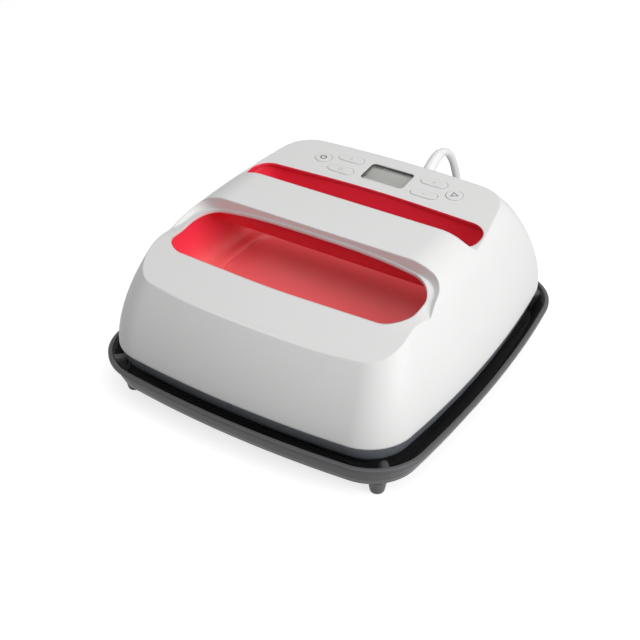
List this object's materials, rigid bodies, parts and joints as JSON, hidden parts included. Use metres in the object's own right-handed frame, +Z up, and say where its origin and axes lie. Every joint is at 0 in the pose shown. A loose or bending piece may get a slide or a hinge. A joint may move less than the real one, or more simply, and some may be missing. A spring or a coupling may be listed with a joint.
{
  "type": "handheld heat press",
  "caption": "Square handheld heat press with a bridge handle over a red hand recess, keys and display behind it, resting on its insulated stand with its mains cord coiled behind",
  "frame": {"origin": "on the floor under the middle of the stand", "axes": "+X to the right as seen by the person using it, +Y to the rear where the keys and the cord are, +Z up"},
  "size_m": [0.2908, 0.4107, 0.1363],
  "materials": {
    "white_shell": "satin",
    "white_keys": "satin",
    "red_recess": "satin",
    "red_grip": "satin",
    "dark_housing": "gloss",
    "stand_grey": "matt",
    "stand_pad": "felted",
    "stand_mat": "matt",
    "plate_coating": "non-stick coating",
    "element_metal": "drawn",
    "screw_steel": "zinc plated",
    "board_insulation": "fibre board",
    "shield_metal": "sheet",
    "circuit_board": "satin",
    "black_fittings": "matt",
    "display_grey": "satin",
    "window_clear": "polished",
    "cord_white": "satin",
    "cord_fittings": "satin",
    "cord_tie_black": "woven",
    "plug_brass": "plated"
  },
  "bodies": {
    "stand": {"base_tray": "stand_grey", "base_feet": "stand_grey", "base_insulation": "stand_pad", "base_mat": "stand_mat", "cord_coil": "cord_white", "cord_tail": "cord_white", "cord_tie": "cord_tie_black", "plug_body": "cord_fittings", "plug_pins": "plug_brass"},
    "press": {"top_shell": "white_shell", "recess_liner": "red_recess", "grip_underside": "red_grip", "lower_skirt": "dark_housing", "heat_plate": "plate_coating", "heating_element": "element_metal", "thermal_cutout": "black_fittings", "temperature_sensor": "element_metal", "insulation_board": "board_insulation", "heat_shield": "shield_metal", "plate_spacers": "element_metal", "plate_screws": "screw_steel", "shell_screws": "screw_steel", "power_board": "circuit_board", "power_board_posts": "black_fittings", "power_board_screws": "screw_steel", "terminal_block": "black_fittings", "cord_clamp": "black_fittings", "supply_cable": "cord_white", "strain_relief": "cord_fittings", "control_board": "circuit_board", "board_screws": "screw_steel", "push_switches": "black_fittings", "display_module": "display_grey", "display_window": "window_clear", "cord_lead": "cord_white"},
    "power_key": {"power_button": "white_keys"},
    "start_key": {"start_button": "white_keys"},
    "temperature_key": {"temperature_button": "white_keys"},
    "timer_key": {"timer_button": "white_keys"},
    "plus_key": {"plus_button": "white_keys"},
    "minus_key": {"minus_button": "white_keys"}
  },
  "joints": [
    {"name": "press_lift", "type": "slide", "parent": "stand", "child": "press", "axis": [0, 0, 1], "range_m": [0, 0.08]},
    {"name": "power_key_push", "type": "slide", "parent": "press", "child": "power_key", "axis": [0, 0.0896, -0.996], "range_m": [0, 0.0008], "stiffness_N_per_m": 1500},
    {"name": "start_key_push", "type": "slide", "parent": "press", "child": "start_key", "axis": [0, 0.0896, -0.996], "range_m": [0, 0.0008], "stiffness_N_per_m": 1500},
    {"name": "temperature_key_push", "type": "slide", "parent": "press", "child": "temperature_key", "axis": [0, 0.0896, -0.996], "range_m": [0, 0.0008], "stiffness_N_per_m": 1500},
    {"name": "timer_key_push", "type": "slide", "parent": "press", "child": "timer_key", "axis": [0, 0.0896, -0.996], "range_m": [0, 0.0008], "stiffness_N_per_m": 1500},
    {"name": "plus_key_push", "type": "slide", "parent": "press", "child": "plus_key", "axis": [0, 0.0896, -0.996], "range_m": [0, 0.0008], "stiffness_N_per_m": 1500},
    {"name": "minus_key_push", "type": "slide", "parent": "press", "child": "minus_key", "axis": [0, 0.0896, -0.996], "range_m": [0, 0.0008], "stiffness_N_per_m": 1500}
  ]
}
